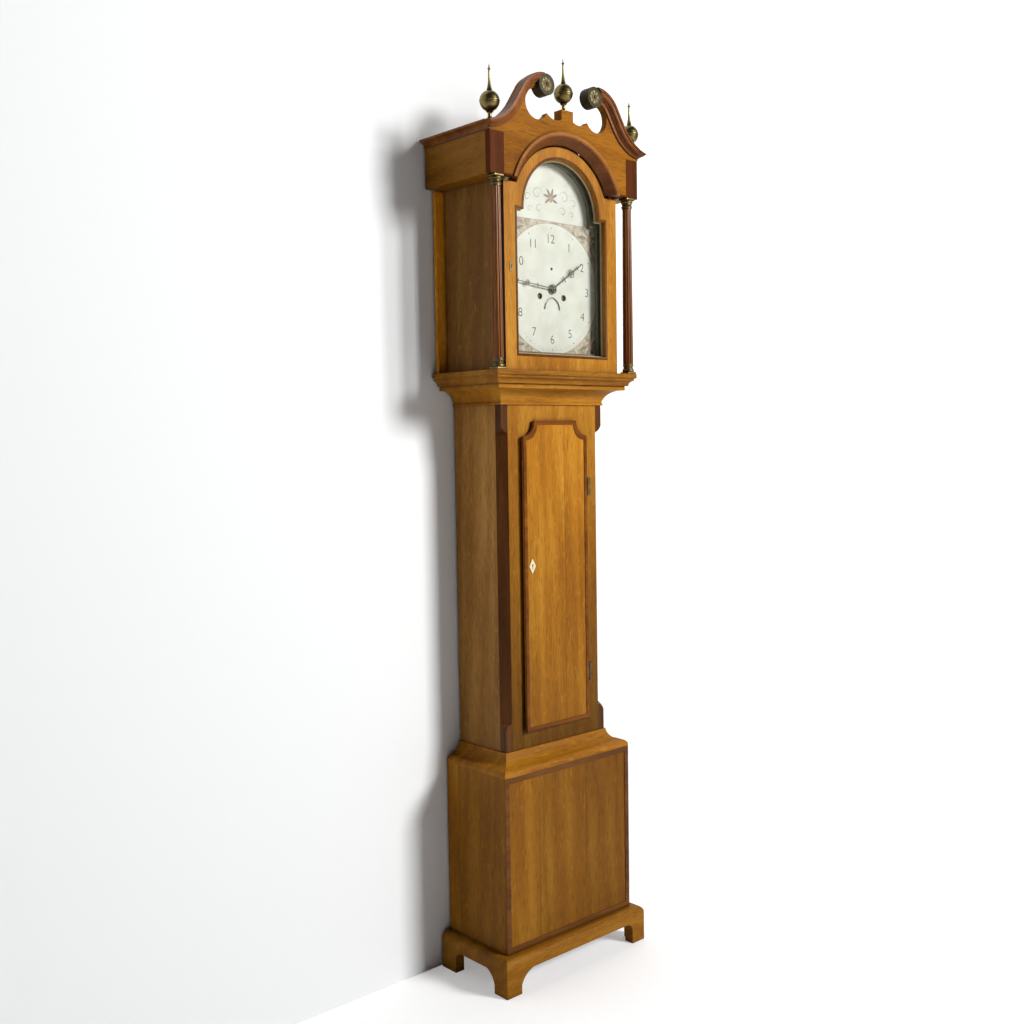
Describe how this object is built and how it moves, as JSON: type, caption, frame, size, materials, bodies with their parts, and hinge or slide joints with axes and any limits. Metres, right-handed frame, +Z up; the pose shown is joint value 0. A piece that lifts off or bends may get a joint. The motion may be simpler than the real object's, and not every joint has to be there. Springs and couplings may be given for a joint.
{
  "type": "grandfather clock",
  "caption": "Tall longcase clock: shaped bracket base, narrow trunk with a notched door, sliding hood with columns, arched glazed door, swan-neck pediment and brass ball finials.",
  "frame": {"origin": "on the floor, under the middle of the clock's bounding box", "axes": "+Z up, -Y the dial's side, +X to the right as seen from the front"},
  "size_m": [0.534, 0.261, 2.259],
  "materials": {
    "oak": "waxed golden oak",
    "pine": "dark old pine",
    "mahogany": "waxed red-brown mahogany",
    "brass": "aged brass",
    "bell_metal": "cast bell metal",
    "steel": "polished steel",
    "hand_metal": "dull hand-cut metal",
    "dial_paint": "off-white painted iron",
    "bone": "polished bone",
    "glass": "clear old glass",
    "weight_iron": "blackened iron",
    "gut": "gut line"
  },
  "bodies": {
    "case": {"backboard": "pine", "trunk_sides": "oak", "trunk_front_frame": "oak", "canted_corners": "mahogany", "base_sides": "oak", "base_front_panel": "oak", "base_crossbanding": "mahogany", "base_top_moulding": "oak", "bracket_plinth": "oak", "throat_moulding": "oak", "seatboard": "pine", "trunk_hinge_leaves": "brass", "movement_plates": "brass", "movement_pillars": "brass", "pendulum_cock": "brass", "bell_stand": "steel", "bell": "bell_metal", "dial_plate": "dial_paint"},
    "hood": {"hood_base_moulding": "oak", "hood_side_boards": "oak", "frieze_side_boxes": "oak", "hood_roof_board": "pine", "pediment_board": "oak", "cornice_moulding": "mahogany", "pediment_bosses": "mahogany", "boss_rosettes": "brass", "arch_moulding": "mahogany", "hood_columns": "mahogany", "column_caps": "brass", "finials": "brass", "dial_mask": "pine"},
    "hood_door": {"hood_door_frame": "oak", "hood_door_glass": "glass", "hood_door_escutcheon": "brass"},
    "trunk_door": {"trunk_door_panel": "oak", "trunk_door_banding": "mahogany", "trunk_door_escutcheon": "bone", "trunk_door_hinges": "brass"},
    "pendulum": {"pendulum_rod": "steel", "pendulum_bob": "brass"},
    "rating_nut": {"rating_nut": "brass"},
    "pallets": {"pallets": "steel"},
    "escape_wheel": {"escape_wheel": "brass"},
    "third_wheel": {"third_wheel": "brass"},
    "centre_wheel": {"centre_wheel": "brass"},
    "going_great_wheel": {"going_great_wheel": "brass"},
    "minute_hand": {"minute_hand": "hand_metal"},
    "minute_wheel": {"minute_wheel": "brass"},
    "hour_work": {"hour_wheel": "brass", "hour_hand": "hand_metal"},
    "date_disc": {"date_disc": "dial_paint"},
    "pin_wheel": {"pin_wheel": "brass"},
    "strike_great_wheel": {"strike_great_wheel": "brass"},
    "hammer": {"hammer": "steel"},
    "going_barrel": {"going_barrel": "brass"},
    "going_weight": {"going_weight": "weight_iron", "going_line": "gut"},
    "strike_barrel": {"strike_barrel": "brass"},
    "strike_weight": {"strike_weight": "weight_iron", "strike_line": "gut"}
  },
  "joints": [
    {"name": "hood_slide", "type": "slide", "parent": "case", "child": "hood", "axis": [0, -1, 0], "range_m": [0, 0.3]},
    {"name": "hood_door_hinge", "type": "hinge", "parent": "hood", "child": "hood_door", "pos_m": [0.194, -0.0905, 1.7], "axis": [0, 0, 1], "range_deg": [0, 100]},
    {"name": "trunk_door_hinge", "type": "hinge", "parent": "case", "child": "trunk_door", "pos_m": [0.1182, -0.0507, 1], "axis": [0, 0, 1], "range_deg": [-1.5, 103.5]},
    {"name": "pendulum_swing", "type": "hinge", "parent": "case", "child": "pendulum", "pos_m": [0, 0.0705, 1.78728], "axis": [0, 1, 0], "range_deg": [-3, 3]},
    {"name": "pallets_rock", "type": "hinge", "parent": "case", "child": "pallets", "pos_m": [0, 0.0305, 1.78728], "axis": [0, 1, 0], "range_deg": [-3, 3]},
    {"name": "rating_nut_turn", "type": "hinge", "parent": "pendulum", "child": "rating_nut", "pos_m": [0, 0.0705, 0.73228], "axis": [0, 0, 1], "continuous": true},
    {"name": "escape_wheel_turn", "type": "hinge", "parent": "case", "child": "escape_wheel", "pos_m": [0, 0.0305, 1.759], "axis": [0, 1, 0], "continuous": true},
    {"name": "third_wheel_turn", "type": "hinge", "parent": "case", "child": "third_wheel", "pos_m": [0.0103, 0.0205, 1.736], "axis": [0, 1, 0], "continuous": true},
    {"name": "centre_wheel_turn", "type": "hinge", "parent": "case", "child": "centre_wheel", "pos_m": [0, -0.0145, 1.709], "axis": [0, 1, 0], "continuous": true},
    {"name": "going_great_wheel_turn", "type": "hinge", "parent": "case", "child": "going_great_wheel", "pos_m": [0.041, 0.0385, 1.69], "axis": [0, 1, 0], "continuous": true},
    {"name": "minute_hand_turn", "type": "hinge", "parent": "case", "child": "minute_hand", "pos_m": [0, -0.0575, 1.709], "axis": [0, 1, 0], "continuous": true},
    {"name": "minute_wheel_turn", "type": "hinge", "parent": "case", "child": "minute_wheel", "pos_m": [-0.0198, -0.0245, 1.6892], "axis": [0, 1, 0], "continuous": true},
    {"name": "hour_hand_turn", "type": "hinge", "parent": "case", "child": "hour_work", "pos_m": [0, -0.0535, 1.709], "axis": [0, 1, 0], "continuous": true},
    {"name": "date_disc_turn", "type": "hinge", "parent": "case", "child": "date_disc", "pos_m": [0, -0.0445, 1.661], "axis": [0, 1, 0], "continuous": true},
    {"name": "pin_wheel_turn", "type": "hinge", "parent": "case", "child": "pin_wheel", "pos_m": [-0.04794, -0.0145, 1.72937], "axis": [0, 1, 0], "continuous": true},
    {"name": "strike_great_wheel_turn", "type": "hinge", "parent": "case", "child": "strike_great_wheel", "pos_m": [-0.041, 0.0385, 1.69], "axis": [0, 1, 0], "continuous": true},
    {"name": "hammer_lift", "type": "hinge", "parent": "case", "child": "hammer", "pos_m": [-0.07, 0.0245, 1.771], "axis": [0, -1, 0], "range_deg": [0, 10], "stiffness_Nm_per_rad": 0.05, "springref_deg": -20.05},
    {"name": "going_weight_travel", "type": "slide", "parent": "case", "child": "going_weight", "axis": [0, 0, 1], "range_m": [0, 0.95], "deforming": ["going_line"]},
    {"name": "going_barrel_wind", "type": "hinge", "parent": "case", "child": "going_barrel", "pos_m": [0.041, 0.0105, 1.69], "axis": [0, 1, 0], "range_deg": [0, 4240.9]},
    {"name": "strike_weight_travel", "type": "slide", "parent": "case", "child": "strike_weight", "axis": [0, 0, 1], "range_m": [0, 0.95], "deforming": ["strike_line"]},
    {"name": "strike_barrel_wind", "type": "hinge", "parent": "case", "child": "strike_barrel", "pos_m": [-0.041, 0.0105, 1.69], "axis": [0, 1, 0], "range_deg": [0, 4240.9]}
  ],
  "couplings": [
    {"joint": "pallets_rock", "follows": "pendulum_swing", "ratio": 1},
    {"joint": "third_wheel_turn", "follows": "escape_wheel_turn", "ratio": -0.125},
    {"joint": "centre_wheel_turn", "follows": "escape_wheel_turn", "ratio": 0.016667},
    {"joint": "going_great_wheel_turn", "follows": "escape_wheel_turn", "ratio": -0.0013889},
    {"joint": "minute_wheel_turn", "follows": "minute_hand_turn", "ratio": -1},
    {"joint": "hour_hand_turn", "follows": "minute_hand_turn", "ratio": 0.083333},
    {"joint": "date_disc_turn", "follows": "minute_hand_turn", "ratio": 0.0013441},
    {"joint": "strike_great_wheel_turn", "follows": "pin_wheel_turn", "ratio": -0.095238},
    {"joint": "going_barrel_wind", "follows": "going_weight_travel", "rad_per_m": 77.821},
    {"joint": "strike_barrel_wind", "follows": "strike_weight_travel", "rad_per_m": 77.821}
  ]
}
